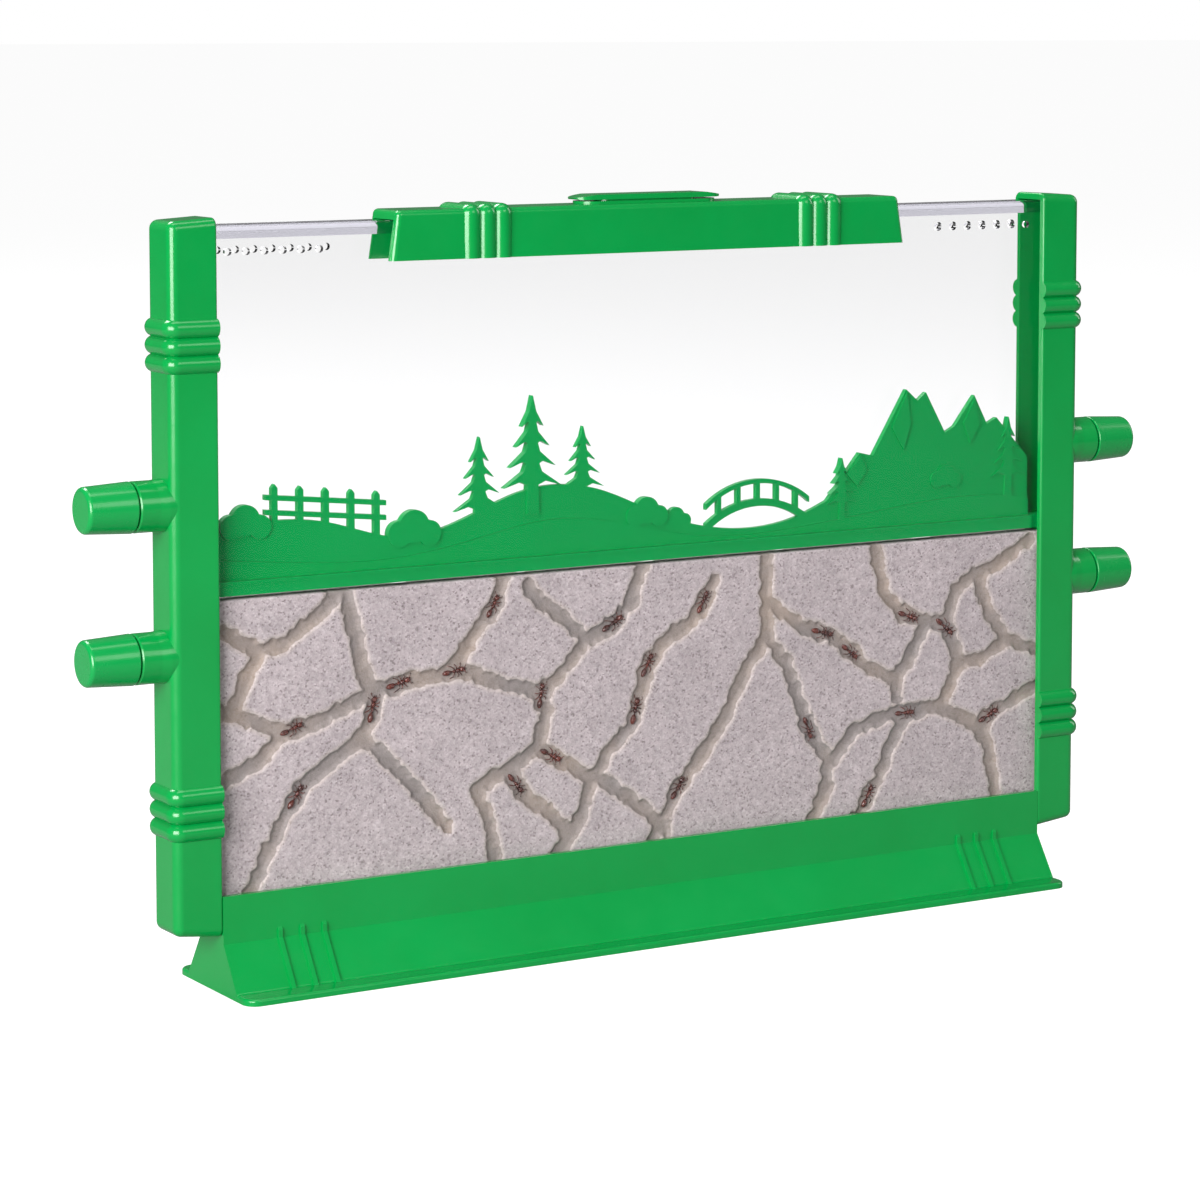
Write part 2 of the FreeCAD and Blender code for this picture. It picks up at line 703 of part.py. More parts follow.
def footbridge(x0, x1, foot, rise):
    middle = (x0 + x1) / 2
    half = (x1 - x0) / 2
    radius = (half * half + rise * rise) / (2 * rise)
    centre = Vector(middle, -PLATE_HALF_THICKNESS, foot + rise - radius)
    thick = 2 * PLATE_HALF_THICKNESS
    outer = Part.makeCylinder(radius + 0.9, thick, centre, BACK)
    inner = Part.makeCylinder(radius - 0.9, thick, centre, BACK)
    window = block(x0 - 1, x1 + 1, -PLATE_HALF_THICKNESS, PLATE_HALF_THICKNESS, foot - 1, foot + 40)
    deck = outer.cut(inner).common(window)
    rail_centre = centre + UP * 5.2
    rail = Part.makeCylinder(radius + 0.55, thick, rail_centre, BACK)
    rail = rail.cut(Part.makeCylinder(radius - 0.55, thick, rail_centre, BACK)).common(window)
    posts = []
    for i in range(5):
        x = x0 + half * 2 * (i + 0.5) / 5
        height = math.sqrt(radius * radius - (x - middle) ** 2) + centre.z
        posts.append(block(
            x - 0.55, x + 0.55, -PLATE_HALF_THICKNESS, PLATE_HALF_THICKNESS, height, height + 5.6,
        ))
    return [deck, rail] + posts


def landscape_motifs():
    back_hill = hill((
        (-113.8, 103.5), (-100, 106.0), (-84, 104.5), (-66, 100.0), (-50, 103.0), (-32, 109.0),
        (-14, 108.0), (2, 101.5), (16, 97.0), (30, 95.5), (44, 97.5), (58, 103.0),
        (78, 106.5), (98, 104.0), (113.8, 106.0),
    ))
    front_hill = hill((
        (-113.8, 98.0), (-92, 96.0), (-70, 95.2), (-48, 98.0), (-24, 101.5), (-4, 98.5),
        (16, 94.6), (44, 94.8), (66, 97.0), (88, 99.0), (113.8, 97.5),
    ), RELIEF_HEIGHT)
    peaks = plate_piece((
        (50, 98), (62, 112), (66, 111), (76, 127), (79.5, 124), (82, 126.0),
        (88, 115.5), (91, 117), (97, 124.5), (101, 117), (104, 118.5), (113.8, 108),
        (113.8, 98),
    ))
    facets = [
        plate_piece(((76, 126.2), (71.5, 117.6), (75.0, 112.0), (77.2, 118.5)), RELIEF_HEIGHT),
        plate_piece(((97, 123.8), (93.4, 117.6), (95.6, 112.5), (98.4, 117.0)), RELIEF_HEIGHT),
        plate_piece(((62, 111.4), (58.0, 106.8), (61.0, 103.8), (64.0, 107.5)), RELIEF_HEIGHT),
    ]
    trees = [
        conifer(-45.5, 102, 20.0, 6.6),
        conifer(-31.5, 106, 25.0, 7.8, RELIEF_HEIGHT),
        conifer(-17.5, 106, 17.0, 5.8),
        conifer(107.5, 101, 17.5, 5.6, RELIEF_HEIGHT),
        conifer(56.5, 98, 13.0, 4.4, RELIEF_HEIGHT),
    ]
    bushes = [
        bush(-63, 99.5, 5.0, RELIEF_HEIGHT),
        bush(-106, 104, 4.6, RELIEF_HEIGHT),
        bush(0, 99.5, 4.2, RELIEF_HEIGHT),
        bush(8.5, 98.0, 3.0),
        bush(88, 103.0, 3.4, RELIEF_HEIGHT),
    ]
    fence = rail_fence(-98.5, -72.5, 105.4, 102.2, 5)
    bridge = footbridge(18, 46, 97.0, 4.6)
    return [back_hill, front_hill, peaks] + facets + trees + bushes + fence + bridge


def landscape_insert():
    ledge = block(
        -LANDSCAPE_HALF_WIDTH, LANDSCAPE_HALF_WIDTH,
        -LEDGE_HALF_DEPTH, LEDGE_HALF_DEPTH, LEDGE_BOTTOM, LEDGE_TOP,
    )
    lip = block(
        -LEDGE_LIP_HALF_LENGTH, LEDGE_LIP_HALF_LENGTH,
        -LEDGE_LIP_HALF_DEPTH, LEDGE_LIP_HALF_DEPTH, LEDGE_LIP_BOTTOM, LEDGE_TOP,
    )
    tabs = block(-TAB_END, TAB_END, -TAB_HALF_DEPTH, TAB_HALF_DEPTH, LEDGE_BOTTOM, LEDGE_TOP)
    shape = ledge.multiFuse([lip, tabs] + landscape_motifs())
    outside_window = block(
        -LANDSCAPE_HALF_WIDTH, LANDSCAPE_HALF_WIDTH, -10, 10, LEDGE_TOP, TANK_TOP,
    )
    lower = block(-TAB_END - 1, TAB_END + 1, -10, 10, 0, LEDGE_TOP)
    shape = shape.common(outside_window.fuse(lower).removeSplitter())
    slots = []
    for x in ANT_SLOT_PLACES:
        slots.append(block(
            x - ANT_SLOT_LENGTH / 2, x + ANT_SLOT_LENGTH / 2,
            PLATE_HALF_THICKNESS + 0.3, PLATE_HALF_THICKNESS + 0.3 + ANT_SLOT_DEPTH,
            LEDGE_BOTTOM - 1, LEDGE_TOP + 1,
        ))
    return shape.cut(slots)


# Sand with tunnels on both faces


def tunnel_cutter(route, width=TUNNEL_WIDTH):
    pieces = []
    half = width / 2
    y0 = -SAND_HALF_DEPTH - 1
    depth = TUNNEL_DEPTH + 1
    for x, z in route:
        pieces.append(Part.makeCylinder(half, depth, Vector(x, y0, z), BACK))
    for (xa, za), (xb, zb) in zip(route, route[1:]):
        length = math.hypot(xb - xa, zb - za)
        ox = -(zb - za) / length * half
        oz = (xb - xa) / length * half
        corners = ((xa + ox, za + oz), (xb + ox, zb + oz), (xb - ox, zb - oz), (xa - ox, za - oz))
        pieces.append(prism_along_y(corners, y0, y0 + depth))
    return pieces[0].multiFuse(pieces[1:])


def ant_hollow(x, z, angle):
    reach_x = ANT_HOLLOW_HALF_LENGTH * math.cos(math.radians(angle))
    reach_z = ANT_HOLLOW_HALF_LENGTH * math.sin(math.radians(angle))
    route = ((x - reach_x, z - reach_z), (x + reach_x, z + reach_z))
    return tunnel_cutter(route, ANT_HOLLOW_WIDTH)


def sand_fill():
    sand = block(
        -SAND_HALF_WIDTH, SAND_HALF_WIDTH,
        -SAND_HALF_DEPTH, SAND_HALF_DEPTH, SAND_BOTTOM, SAND_TOP,
    )
    front = [tunnel_cutter(route) for route in TUNNEL_ROUTES]
    network = front[0].multiFuse(front[1:])
    back = network.copy()
    back.rotate(MIDDLE, UP, 180)
    hollows = [ant_hollow(x, z, angle) for x, z, angle in ANT_PLACES]
    return sand.cut([network, back] + hollows)


# Ants


def ellipsoid(x, half_length, half_width):
    oval = Part.Ellipse(Vector(x, 0, 0), half_length, half_width)
    curve = oval.toShape(0, math.pi)
    axis = Part.makeLine(Vector(x - half_length, 0, 0), Vector(x + half_length, 0, 0))
    return Part.Face(Part.Wire([curve, axis])).revolve(Vector(x, 0, 0), RIGHT, 360)


def leg(x, side, sweep):
    start = Vector(x, 0, 0)
    tip = Vector(x + sweep, 0.55, side * 1.45)
    direction = tip - start
    return Part.makeCylinder(0.11, direction.Length, start, direction)


def ant():
    head = ellipsoid(2.15, 0.78, 0.58)
    thorax = ellipsoid(0.75, 1.0, 0.42)
    abdomen = ellipsoid(-1.55, 1.45, 0.72)
    legs = []
    for side in (-1, 1):
        legs.append(leg(1.2, side, 0.9))
        legs.append(leg(0.7, side, -0.1))
        legs.append(leg(0.2, side, -1.1))
    return thorax.multiFuse([head, abdomen] + legs)


def ants():
    master = ant()
    group = []
    for x, z, angle in ANT_PLACES:
        copy = master.copy()
        copy.rotate(MIDDLE, BACK, -angle)
        copy.translate(Vector(x, ANT_LEVEL_Y, z))
        group.append(copy)
    return Part.makeCompound(group)


def main():
    post = right_post()
    save(post, "right_post")
    save(mirrored(post), "left_post")
    upper_cap = right_cap(PORT_LEVELS[0])
    lower_cap = right_cap(PORT_LEVELS[1])
    save(upper_cap, "right_upper_port_cap")
    save(lower_cap, "right_lower_port_cap")
    save(mirrored(upper_cap), "left_upper_port_cap")
    save(mirrored(lower_cap), "left_lower_port_cap")
    save(front_panel(), "front_panel")
    save(rear_panel(), "rear_panel")
    strip = right_top_strip()
    save(strip, "right_top_strip")
    save(mirrored(strip), "left_top_strip")
    save(base_stand(), "base_stand")
    save(lid(), "lid")
    save(feeding_hatch(), "feeding_hatch")
    save(landscape_insert(), "landscape_insert")
    save(sand_fill(), "sand_fill")
    ants().exportStep("parts/ants.step")


main()
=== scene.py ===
import bpy
import math
import random

from mathutils import Matrix, Vector, noise
from mathutils.bvhtree import BVHTree


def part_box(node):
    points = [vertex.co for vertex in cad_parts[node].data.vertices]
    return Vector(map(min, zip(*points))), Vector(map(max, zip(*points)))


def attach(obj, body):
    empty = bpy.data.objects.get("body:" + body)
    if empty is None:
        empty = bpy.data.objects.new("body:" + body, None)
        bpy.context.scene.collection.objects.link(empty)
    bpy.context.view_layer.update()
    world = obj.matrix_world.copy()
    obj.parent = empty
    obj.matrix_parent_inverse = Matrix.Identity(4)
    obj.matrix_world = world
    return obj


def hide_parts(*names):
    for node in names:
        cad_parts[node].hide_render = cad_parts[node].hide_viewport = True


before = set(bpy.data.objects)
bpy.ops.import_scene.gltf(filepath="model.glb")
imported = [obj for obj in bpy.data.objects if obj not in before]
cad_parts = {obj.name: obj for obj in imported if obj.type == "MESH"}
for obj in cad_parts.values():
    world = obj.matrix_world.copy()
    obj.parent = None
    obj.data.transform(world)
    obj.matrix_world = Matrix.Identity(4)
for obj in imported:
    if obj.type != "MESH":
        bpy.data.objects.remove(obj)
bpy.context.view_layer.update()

MM = 0.001

# Camera at the photograph's viewing angle
CAMERA_PLACE = (-0.47377, -0.76779, 0.21881)
CAMERA_TILT = 90.0 - 5.133
CAMERA_TURN = -31.012
CAMERA_LENS = 113.955
CAMERA_RISE = -0.2

# Colours as linear red, green, blue
GREEN = (0.0, 0.335, 0.062)
GREEN_DEEP = (0.0, 0.305, 0.053)
LANDSCAPE_GREEN = (0.0, 0.335, 0.072)
LANDSCAPE_DEEP = (0.0, 0.318, 0.066)
CAP_GREEN = (0.001, 0.330, 0.068)
SAND_PALE = (0.670, 0.594, 0.612)
SAND_LIGHT = (0.590, 0.508, 0.528)
SAND_MID = (0.540, 0.462, 0.482)
SAND_DULL = (0.472, 0.400, 0.418)
SAND_DARK = (0.306, 0.252, 0.260)
# Tunnel tones: partly the dug sand's own grey-brown, partly painted shade standing in for the depth
# of the shallower grooves
TUNNEL_SHADED_GREY = (0.255, 0.225, 0.207)
TUNNEL_SHADED_BROWN = (0.360, 0.282, 0.220)
TUNNEL_EDGE = (0.790, 0.675, 0.560)
ANT_RED = (0.110, 0.018, 0.010)
ANT_DARK = (0.035, 0.006, 0.004)
SHEET_TINT = (0.942, 0.942, 0.944)
# Top strip tint: painted shade, a darker lilac tint standing in for the grey band that the rounded
# clear rim shows by refraction
STRIP_PAINTED_SHADE_TINT = (0.660, 0.650, 0.720)

# White backdrop and fill light
FLOOR_COLOUR = 0.30
FLOOR_GLOW = 0.93
WORLD_FILL = 0.12

# Sand surface, with tunnels drawn shallower than the CAD tunnels
SAND_PITCH = 0.42 * MM
TUNNEL_DEPTH = 2.2 * MM
TUNNEL_SHARE = 0.4
TUNNEL_WOBBLE = 1.0 * MM
FINE_WOBBLE_SHARE = 0.55
COARSE_WOBBLE_SCALE = 420.0
FINE_WOBBLE_SCALE = 1300.0
FLOOR_UNEVENNESS = 0.25 * MM
GRAIN_RELIEF = 0.07 * MM
EDGE_MARGIN = 0.2 * MM
PROBE_REACH = 10 * MM
SHAPE_ROUNDS = 1
RIM_ROUNDS = 8

# Each lamp's name, place, target, width, height, power and spread in degrees
LAMPS = (
    ("key_lamp", (-1.17, -0.76, 0.43), (0, 0, 0.09), 1.0, 0.84, 30.0, 180.0),
    ("front_lamp", (0.35, -1.5, 0.9), (0, 0, 0.08), 0.8, 0.6, 4.0, 180.0),
    ("top_lamp", (0.0, -0.1, 1.4), (0, 0, 0.1), 1.1, 0.4, 1.5, 100.0),
    ("right_lamp", (1.2, -0.2, 0.6), (0, 0, 0.08), 0.4, 0.8, 3.0, 180.0),
    ("rear_lamp", (-0.2, 1.15, 1.5), (0, 0, 0.09), 0.9, 0.7, 20.0, 180.0),
)

# Each ant lies at X and Z in millimetres, turned by an angle in degrees
ANT_PLACES = (
    (-43.2, 82.3, 60), (-68.2, 66.4, 15), (-53.6, 67.9, 8), (-30.3, 60.0, 80),
    (-95.6, 58.4, 20), (-75.0, 61.0, 75), (-94.8, 42.7, 55), (-27.6, 45.6, -28),
    (-37.2, 39.8, -50), (-0.9, 64.7, 62), (-4.3, 53.9, 75), (7.8, 33.9, 55),
    (-10.6, 75.6, 30), (14.9, 78.7, 62), (45.6, 45.0, -68), (49.8, 68.4, -15),
    (58.0, 62.9, -38), (75.6, 70.4, -20), (86.9, 66.8, -40), (74.8, 46.0, 0),
    (100.8, 42.9, 25), (63.6, 26.0, 60),
)
ANT_LEVEL_Y = -2.6


# Node graph helpers


def new_material(name):
    material = bpy.data.materials.new(name)
    material.use_nodes = True
    tree = material.node_tree
    shader = tree.nodes["Principled BSDF"]
    return material, tree, shader


def add_node(tree, kind, **settings):
    node = tree.nodes.new(kind)
    for key, value in settings.items():
        setattr(node, key, value)
    return node


def join(tree, source, target):
    tree.links.new(source, target)


def object_points(tree):
    return add_node(tree, "ShaderNodeTexCoord").outputs["Object"]


def noise_field(tree, points, scale, detail=3.0, roughness=0.5):
    field = add_node(tree, "ShaderNodeTexNoise")
    field.inputs["Scale"].default_value = scale
    field.inputs["Detail"].default_value = detail
    field.inputs["Roughness"].default_value = roughness
    join(tree, points, field.inputs["Vector"])
    return field.outputs["Fac"]


def ramp(tree, factor, stops):
    node = add_node(tree, "ShaderNodeValToRGB")
    elements = node.color_ramp.elements
    while len(elements) < len(stops):
        elements.new(0.5)
    for element, (place, colour) in zip(elements, stops):
        element.position = place
        element.color = (*colour, 1.0)
    join(tree, factor, node.inputs["Fac"])
    return node.outputs["Color"]


def grey_ramp(tree, factor, stops):
    return ramp(tree, factor, [(place, (level,) * 3) for place, level in stops])


def blend_colours(tree, factor, first, second, kind="MIX"):
    node = add_node(tree, "ShaderNodeMix", data_type="RGBA", blend_type=kind)
    sockets = (node.inputs[0], node.inputs[6], node.inputs[7])
    for socket, value in zip(sockets, (factor, first, second)):
        if isinstance(value, (int, float)):
            socket.default_value = value
        elif isinstance(value, tuple):
            socket.default_value = (*value, 1.0)
        else:
            join(tree, value, socket)
    return node.outputs[2]


def bump(tree, height, strength, distance, normal=None):
    node = add_node(tree, "ShaderNodeBump")
    node.inputs["Strength"].default_value = strength
    node.inputs["Distance"].default_value = distance
    join(tree, height, node.inputs["Height"])
    if normal is not None:
        join(tree, normal, node.inputs["Normal"])
    return node.outputs["Normal"]


# Moulded glossy plastic: faint flow mottling, a fine skin texture and light handling wear


def moulded_plastic(name, colour, deep, roughness=0.20, gloss=0.5, coat=0.3):
    material, tree, shader = new_material(name)
    points = object_points(tree)
    flow = noise_field(tree, points, 38.0, 4.0, 0.55)
    tint = ramp(tree, flow, [(0.30, deep), (0.70, colour)])
    join(tree, tint, shader.inputs["Base Color"])
    skin = noise_field(tree, points, 900.0, 2.0, 0.5)
    wear = noise_field(tree, points, 160.0, 5.0, 0.6)
    sheen = grey_ramp(tree, wear, [(0.25, roughness - 0.03), (0.75, roughness + 0.07)])
    join(tree, sheen, shader.inputs["Roughness"])
    coarse = bump(tree, flow, 0.05, 0.0015)
    join(tree, bump(tree, skin, 0.06, 0.0001, coarse), shader.inputs["Normal"])
    shader.inputs["IOR"].default_value = 1.5
    shader.inputs["Specular IOR Level"].default_value = gloss
    shader.inputs["Coat Weight"].default_value = coat
    shader.inputs["Coat Roughness"].default_value = 0.06
    return material


# Clear styrene with faint scuffs, which lets lamps and soft light through


def clear_plastic(name, tint):
    material, tree, shader = new_material(name)
    points = object_points(tree)
    scuffs = noise_field(tree, points, 45.0, 6.0, 0.62)
    haze = grey_ramp(tree, scuffs, [(0.45, 0.015), (0.80, 0.06)])
    join(tree, haze, shader.inputs["Roughness"])
    shader.inputs["Base Color"].default_value = (*tint, 1.0)
    shader.inputs["IOR"].default_value = 1.45
    shader.inputs["Specular Tint"].default_value = (0.14, 0.14, 0.15, 1.0)
    shader.inputs["Transmission Weight"].default_value = 1.0
    swell = noise_field(tree, points, 22.0, 1.0, 0.4)
    join(tree, bump(tree, swell, 0.04, 0.0008), shader.inputs["Normal"])
    let_through = add_node(tree, "ShaderNodeBsdfTransparent")
    let_through.inputs["Color"].default_value = (0.97, 0.97, 0.97, 1.0)
    path = add_node(tree, "ShaderNodeLightPath")
    soft_ray = add_node(tree, "ShaderNodeMath", operation="MAXIMUM")
    join(tree, path.outputs["Is Shadow Ray"], soft_ray.inputs[0])
    join(tree, path.outputs["Is Diffuse Ray"], soft_ray.inputs[1])
    mixer = add_node(tree, "ShaderNodeMixShader")
    join(tree, soft_ray.outputs[0], mixer.inputs["Fac"])
    join(tree, shader.outputs["BSDF"], mixer.inputs[1])
    join(tree, let_through.outputs["BSDF"], mixer.inputs[2])
    join(tree, mixer.outputs["Shader"], tree.nodes["Material Output"].inputs["Surface"])
    return material


# Fine sand: pale grains with dark and light specks, browner and darker in the tunnels (partly the
# dug sand's own tone, partly painted shade of the grooves), creamy at their edges


def sand_material():
    material, tree, shader = new_material("fine_sand")
    points = object_points(tree)
    grains = add_node(tree, "ShaderNodeTexVoronoi", feature="F1")
    grains.inputs["Scale"].default_value = 2300.0
    join(tree, points, grains.inputs["Vector"])
    speck = add_node(tree, "ShaderNodeSeparateColor")
    join(tree, grains.outputs["Color"], speck.inputs["Color"])
    grain_tone = ramp(tree, speck.outputs["Red"], [
        (0.0, SAND_DARK), (0.12, SAND_DULL), (0.35, SAND_MID), (0.75, SAND_LIGHT), (1.0, SAND_PALE),
    ])
    clouds = noise_field(tree, points, 70.0, 5.0, 0.6)
    cloud_tone = grey_ramp(tree, clouds, [(0.30, 0.90), (0.70, 1.06)])
    packed = blend_colours(tree, 1.0, grain_tone, cloud_tone, "MULTIPLY")
    clumps = noise_field(tree, points, 520.0, 3.0, 0.6)
    clump_tone = grey_ramp(tree, clumps, [(0.35, 0.86), (0.62, 1.05)])
    packed = blend_colours(tree, 0.8, packed, clump_tone, "MULTIPLY")
    dug_share = add_node(tree, "ShaderNodeAttribute", attribute_name="tunnel").outputs["Fac"]
    crumbs = noise_field(tree, points, 800.0, 4.0, 0.65)
    tunnel_mask = grey_ramp(
        tree, blend_colours(tree, 0.4, dug_share, crumbs), [(0.38, 0.0), (0.50, 1.0)],
    )
    rim_mask = add_node(tree, "ShaderNodeAttribute", attribute_name="rim").outputs["Fac"]
    patches = noise_field(tree, points, 34.0, 4.0, 0.55)
    # Tunnel colour: the dug sand's grey-brown darkened with painted shade of the groove
    tunnel_tone_and_shade = ramp(tree, patches, [(0.42, TUNNEL_SHADED_GREY), (0.66, TUNNEL_SHADED_BROWN)])
    dug_and_shaded = blend_colours(tree, 0.25, tunnel_tone_and_shade, packed)
    rimmed = blend_colours(tree, rim_mask, packed, blend_colours(tree, 0.40, packed, TUNNEL_EDGE))
    colour = blend_colours(tree, tunnel_mask, rimmed, dug_and_shaded)
    join(tree, colour, shader.inputs["Base Color"])
    shader.inputs["Roughness"].default_value = 0.92
    shader.inputs["Specular IOR Level"].default_value = 0.25
    relief = bump(tree, grains.outputs["Distance"], 0.35, 0.00018)
    join(tree, bump(tree, clumps, 0.35, 0.00025, relief), shader.inputs["Normal"])
    return material


def ant_material():
    material, tree, shader = new_material("ant_shell")
    points = object_points(tree)
    bands = noise_field(tree, points, 420.0, 3.0, 0.5)
    join(tree, ramp(tree, bands, [(0.35, ANT_DARK), (0.65, ANT_RED)]), shader.inputs["Base Color"])
    fine = noise_field(tree, points, 2600.0, 2.0, 0.5)
    join(tree, grey_ramp(tree, fine, [(0.3, 0.30), (0.7, 0.45)]), shader.inputs["Roughness"])
    join(tree, bump(tree, fine, 0.2, 0.00004), shader.inputs["Normal"])
    return material


# Sand surface drawn from the CAD sand, with crumbled tunnel edges


def cad_surface(node):
    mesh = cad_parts[node].data
    corners = [vertex.co.copy() for vertex in mesh.vertices]
    faces = [tuple(polygon.vertices) for polygon in mesh.polygons]
    return BVHTree.FromPolygons(corners, faces)


def dug_depth(surface, x, z, side, face_y, low, high):
    wobble = TUNNEL_WOBBLE
    share = FINE_WOBBLE_SHARE
    seed = Vector((x * COARSE_WOBBLE_SCALE, side * 7.0, z * COARSE_WOBBLE_SCALE))
    fine = Vector((x * FINE_WOBBLE_SCALE, side * 3.0, z * FINE_WOBBLE_SCALE))
    shift_x = noise.noise(seed) * wobble + noise.noise(fine) * wobble * share
    shift_z = noise.noise(seed + Vector((9.1, 4.2, 5.3))) * wobble
    shift_z += noise.noise(fine + Vector((2.7, 8.4, 1.9))) * wobble * share
    px = min(max(x + shift_x, low.x + EDGE_MARGIN), high.x - EDGE_MARGIN)
    pz = min(max(z + shift_z, low.z + EDGE_MARGIN), high.z - EDGE_MARGIN)
    start = Vector((px, side * (face_y + PROBE_REACH), pz))
    place, _, _, _ = surface.ray_cast(start, Vector((0, -side, 0)))
    if place is None:
        return 0.0
    return max(0.0, face_y - abs(place.y))


def smoothed(grid, rounds):
    columns = len(grid)
    rows = len(grid[0])
    for _ in range(rounds):
        across = []
        for i in range(columns):
            left = grid[max(i - 1, 0)]
            right = grid[min(i + 1, columns - 1)]
            across.append([(a + 2 * b + c) / 4 for a, b, c in zip(left, grid[i], right)])
        grid = []
        for column in across:
            grid.append([
                (column[max(j - 1, 0)] + 2 * column[j] + column[min(j + 1, rows - 1)]) / 4
                for j in range(rows)
            ])
    return grid


def sand_face(surface, side, low, high, columns, rows):
    face_y = high.y
    depths = []
    for i in range(columns):
        x = low.x + (high.x - low.x) * i / (columns - 1)
        column = []
        for j in range(rows):
            z = low.z + (high.z - low.z) * j / (rows - 1)
            column.append(dug_depth(surface, x, z, side, face_y, low, high))
        depths.append(column)
    return smoothed(depths, SHAPE_ROUNDS), smoothed(depths, RIM_ROUNDS)


def make_sand():
    low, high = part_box("sand_fill")
    surface = cad_surface("sand_fill")
    columns = int(round((high.x - low.x) / SAND_PITCH)) + 1
    rows = int(round((high.z - low.z) / SAND_PITCH)) + 1
    places = []
    tunnel = []
    rim = []
    for side in (-1, 1):
        shape, wide = sand_face(surface, side, low, high, columns, rows)
        for i in range(columns):
            x = low.x + (high.x - low.x) * i / (columns - 1)
            for j in range(rows):
                z = low.z + (high.z - low.z) * j / (rows - 1)
                depth = shape[i][j] * TUNNEL_SHARE
                share = shape[i][j] / TUNNEL_DEPTH
                around = wide[i][j] / TUNNEL_DEPTH
                grain_noise = noise.noise(Vector((x * 1500.0, side * 5.0, z * 1500.0)))
                grain = (grain_noise - 0.6) * GRAIN_RELIEF
                floor_noise = noise.noise(Vector((x * 160.0, side * 2.0, z * 160.0)))
                uneven = floor_noise * share * FLOOR_UNEVENNESS
                y = high.y - depth + min(grain, 0.0) + uneven
                places.append((x, side * y, z))
                tunnel.append(min(1.0, share * 1.6))
                rim.append(min(1.0, max(0.0, around * 3.0 - 0.12)) * max(0.0, 1.0 - share * 1.5))
    faces = []
    count = columns * rows
    for i in range(columns - 1):
        for j in range(rows - 1):
            a = i * rows + j
            faces.append((a, a + rows, a + rows + 1, a + 1))
            b = count + a
            faces.append((b, b + 1, b + rows + 1, b + rows))
    for i in range(columns - 1):
        a = i * rows
        faces.append((a, count + a, count + a + rows, a + rows))
        top = a + rows - 1
        faces.append((top, top + rows, count + top + rows, count + top))
    for j in range(rows - 1):
        faces.append((j, j + 1, count + j + 1, count + j))
        end = (columns - 1) * rows + j
        faces.append((end, count + end, count + end + 1, end + 1))
    mesh = bpy.data.meshes.new("sand_with_tunnels")
    mesh.from_pydata(places, [], faces)
    for name, values in (("tunnel", tunnel), ("rim", rim)):
        attribute = mesh.attributes.new(name, "FLOAT", "POINT")
        attribute.data.foreach_set("value", values)
    mesh.polygons.foreach_set("use_smooth", [True] * len(mesh.polygons))
    mesh.materials.append(sand_material())
    sand = bpy.data.objects.new("sand_with_tunnels", mesh)
    bpy.context.collection.objects.link(sand)
    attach(sand, "habitat")
    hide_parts("sand_fill")
    return sand


# Ants with jointed legs, elbowed feelers and jaws


def add_ring_body(parts, rings, sides=10):
    places, faces = parts
    start = len(places)
    for x, centre_y, half_depth, half_width in rings:
        for k in range(sides):
            turn = 2 * math.pi * k / sides
            places.append((x, centre_y + half_depth * math.sin(turn), half_width * math.cos(turn)))
    for r in range(len(rings) - 1):
        for k in range(sides):
            a = start + r * sides + k
            b = start + r * sides + (k + 1) % sides
            faces.append((a, b, b + sides, a + sides))
    faces.append(tuple(start + k for k in reversed(range(sides))))
    last = start + (len(rings) - 1) * sides
    faces.append(tuple(last + k for k in range(sides)))


def swelling(x0, x1, half_depth, half_width, centre_y=0.0, steps=7):
    rings = []
    for i in range(steps):
        share = (i + 0.35) / (steps - 0.3)
        swell = math.sin(math.pi * share) ** 0.62
        rings.append((x0 + (x1 - x0) * share, centre_y, half_depth * swell, half_width * swell))
    return rings


def add_limb(parts, knots, radii, sides=6):
    places, faces = parts
    points = [Vector(knot) for knot in knots]
    start = len(places)
    for i, point in enumerate(points):
        before = points[max(i - 1, 0)]
        after = points[min(i + 1, len(points) - 1)]
        along = (after - before).normalized()
        first = along.orthogonal().normalized()
        second = along.cross(first)
        for k in range(sides):
            turn = 2 * math.pi * k / sides
            offset = (first * math.cos(turn) + second * math.sin(turn)) * radii[i]
            places.append(tuple(point + offset))
    for r in range(len(points) - 1):
        for k in range(sides):
            a = start + r * sides + k
            b = start + r * sides + (k + 1) % sides
            faces.append((a, b, b + sides, a + sides))
    faces.append(tuple(start + k for k in reversed(range(sides))))
    last = start + (len(points) - 1) * sides
    faces.append(tuple(last + k for k in range(sides)))


def ant_parts(rand):
    parts = ([], [])
    add_ring_body(parts, swelling(-2.9, -0.62, 0.56, 0.60))
    add_ring_body(parts, swelling(-0.78, -0.36, 0.24, 0.24), 8)
    add_ring_body(parts, swelling(-0.45, 0.55, 0.36, 0.36))
    add_ring_body(parts, swelling(0.30, 1.50, 0.42, 0.44))
    add_ring_body(parts, swelling(1.38, 2.72, 0.46, 0.60))
    for side in (-1, 1):
        add_limb(parts, (
            (2.55, 0.0, side * 0.26), (2.84, 0.0, side * 0.24), (3.0, 0.02, side * 0.06),
        ), (0.10, 0.08, 0.03))
        sway = rand.uniform(-0.15, 0.15)
        add_limb(parts, (
            (2.35, -0.25, side * 0.22), (2.65 + sway, -0.42, side * 0.85),
            (2.95 + sway, -0.1, side * 1.0), (3.25, 0.2, side * (0.95 + sway)),
        ), (0.08, 0.07, 0.07, 0.08))
        for root, knee_x, foot_x in ((1.15, 1.55, 2.1), (0.75, 0.65, 0.5), (0.30, -0.25, -1.25)):
            reach = rand.uniform(-0.22, 0.22)
            add_limb(parts, (
                (root, 0.1, side * 0.25),
                (knee_x + reach, -0.45, side * 0.95),
                ((knee_x + foot_x) / 2 + reach, 0.0, side * 1.3),
                (foot_x + reach, 0.40, side * 1.6),
            ), (0.12, 0.11, 0.09, 0.06))
    return parts


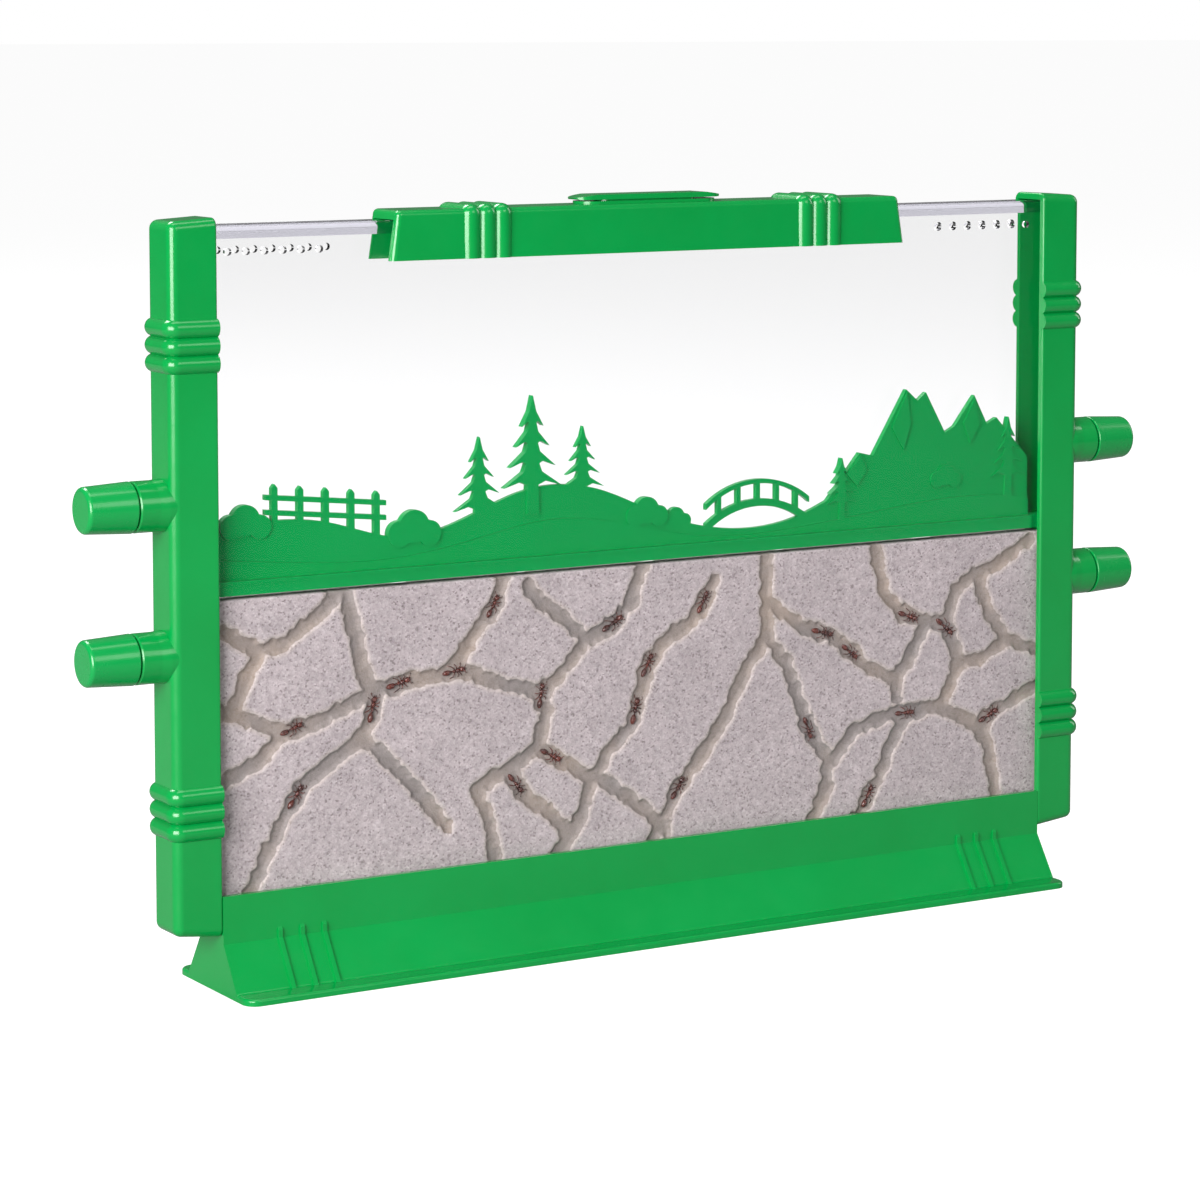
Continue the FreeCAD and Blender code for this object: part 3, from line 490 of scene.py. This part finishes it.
def make_ants():
    rand = random.Random(7)
    places = []
    faces = []
    for x, z, angle in ANT_PLACES:
        ant_places, ant_faces = ant_parts(rand)
        turn = Matrix.Rotation(-math.radians(angle), 4, "Y")
        shift = Vector((x, ANT_LEVEL_Y, z))
        start = len(places)
        size = rand.uniform(1.04, 1.16)
        for place in ant_places:
            places.append(tuple(((turn @ (Vector(place) * size)) + shift) * MM))
        for face in ant_faces:
            faces.append(tuple(start + k for k in face))
    mesh = bpy.data.meshes.new("ants_in_tunnels")
    mesh.from_pydata(places, [], faces)
    mesh.polygons.foreach_set("use_smooth", [True] * len(mesh.polygons))
    mesh.materials.append(ant_material())
    ants = bpy.data.objects.new("ants_in_tunnels", mesh)
    bpy.context.collection.objects.link(ants)
    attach(ants, "habitat")
    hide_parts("ants")
    return ants


# Finishes on the CAD nodes


def give(node, material):
    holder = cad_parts[node]
    if not holder.material_slots:
        holder.data.materials.append(material)
    for slot in holder.material_slots:
        slot.material = material


def finish_frame():
    green = moulded_plastic("green_moulding", GREEN, GREEN_DEEP)
    for node in ("base_stand", "left_post", "right_post", "lid", "feeding_hatch"):
        give(node, green)
    give("landscape_insert", moulded_plastic(
        "landscape_moulding", LANDSCAPE_GREEN, LANDSCAPE_DEEP, 0.30, 0.12, 0.0,
    ))
    caps = moulded_plastic("cap_moulding", CAP_GREEN, GREEN, 0.24)
    for side in ("left", "right"):
        for level in ("upper", "lower"):
            give(side + "_" + level + "_port_cap", caps)
    sheet = clear_plastic("clear_sheet", SHEET_TINT)
    give("front_panel", sheet)
    give("rear_panel", sheet)
    # Top strips: the same clear plastic, with a darker lilac tint as painted shade of the rim's
    # refraction band
    strip = clear_plastic("clear_strip", STRIP_PAINTED_SHADE_TINT)
    give("left_top_strip", strip)
    give("right_top_strip", strip)


# Floor, backdrop, lamps and camera


def seen_directly(tree):
    path = add_node(tree, "ShaderNodeLightPath")
    unscattered = add_node(tree, "ShaderNodeMath", operation="LESS_THAN")
    join(tree, path.outputs["Diffuse Depth"], unscattered.inputs[0])
    unscattered.inputs[1].default_value = 0.5
    through = add_node(tree, "ShaderNodeMath", operation="MULTIPLY")
    join(tree, path.outputs["Is Transmission Ray"], through.inputs[0])
    join(tree, unscattered.outputs[0], through.inputs[1])
    seen = add_node(tree, "ShaderNodeMath", operation="MAXIMUM")
    join(tree, path.outputs["Is Camera Ray"], seen.inputs[0])
    join(tree, through.outputs[0], seen.inputs[1])
    return seen.outputs[0]


def make_floor():
    bpy.ops.mesh.primitive_plane_add(size=60.0, location=(0, 0, 0))
    floor = bpy.context.object
    floor.name = "floor"
    material, tree, shader = new_material("floor_white")
    shader.inputs["Base Color"].default_value = (FLOOR_COLOUR, FLOOR_COLOUR, FLOOR_COLOUR, 1.0)
    shader.inputs["Roughness"].default_value = 0.95
    shader.inputs["Specular IOR Level"].default_value = 0.0
    glow = add_node(tree, "ShaderNodeEmission")
    glow.inputs["Color"].default_value = (1, 1, 1, 1)
    level = add_node(tree, "ShaderNodeMath", operation="MULTIPLY")
    join(tree, seen_directly(tree), level.inputs[0])
    level.inputs[1].default_value = FLOOR_GLOW
    join(tree, level.outputs[0], glow.inputs["Strength"])
    adder = add_node(tree, "ShaderNodeAddShader")
    join(tree, shader.outputs["BSDF"], adder.inputs[0])
    join(tree, glow.outputs["Emission"], adder.inputs[1])
    join(tree, adder.outputs["Shader"], tree.nodes["Material Output"].inputs["Surface"])
    floor.data.materials.append(material)


def make_world():
    world = bpy.data.worlds.new("studio")
    bpy.context.scene.world = world
    world.use_nodes = True
    tree = world.node_tree
    background = tree.nodes["Background"]
    background.inputs["Color"].default_value = (1, 1, 1, 1)
    level = add_node(tree, "ShaderNodeMapRange")
    join(tree, seen_directly(tree), level.inputs["Value"])
    level.inputs["To Min"].default_value = WORLD_FILL
    level.inputs["To Max"].default_value = 1.0
    join(tree, level.outputs["Result"], background.inputs["Strength"])


def add_lamp(name, place, target, width, height, power, spread):
    data = bpy.data.lights.new(name, "AREA")
    data.shape = "RECTANGLE"
    data.size = width
    data.size_y = height
    data.energy = power
    data.spread = math.radians(spread)
    lamp = bpy.data.objects.new(name, data)
    bpy.context.collection.objects.link(lamp)
    lamp.location = place
    direction = Vector(target) - Vector(place)
    lamp.rotation_euler = direction.to_track_quat("-Z", "Y").to_euler()


def make_camera():
    data = bpy.data.cameras.new("camera")
    data.lens = CAMERA_LENS
    data.sensor_width = 36.0
    data.shift_y = CAMERA_RISE
    data.clip_start = 0.01
    data.clip_end = 100.0
    camera = bpy.data.objects.new("camera", data)
    bpy.context.collection.objects.link(camera)
    camera.location = CAMERA_PLACE
    camera.rotation_euler = (math.radians(CAMERA_TILT), 0.0, math.radians(CAMERA_TURN))
    bpy.context.scene.camera = camera


def main():
    make_camera()
    finish_frame()
    make_sand()
    make_ants()
    make_floor()
    make_world()
    for lamp in LAMPS:
        add_lamp(*lamp)
    bpy.context.scene.view_settings.view_transform = "Standard"


main()
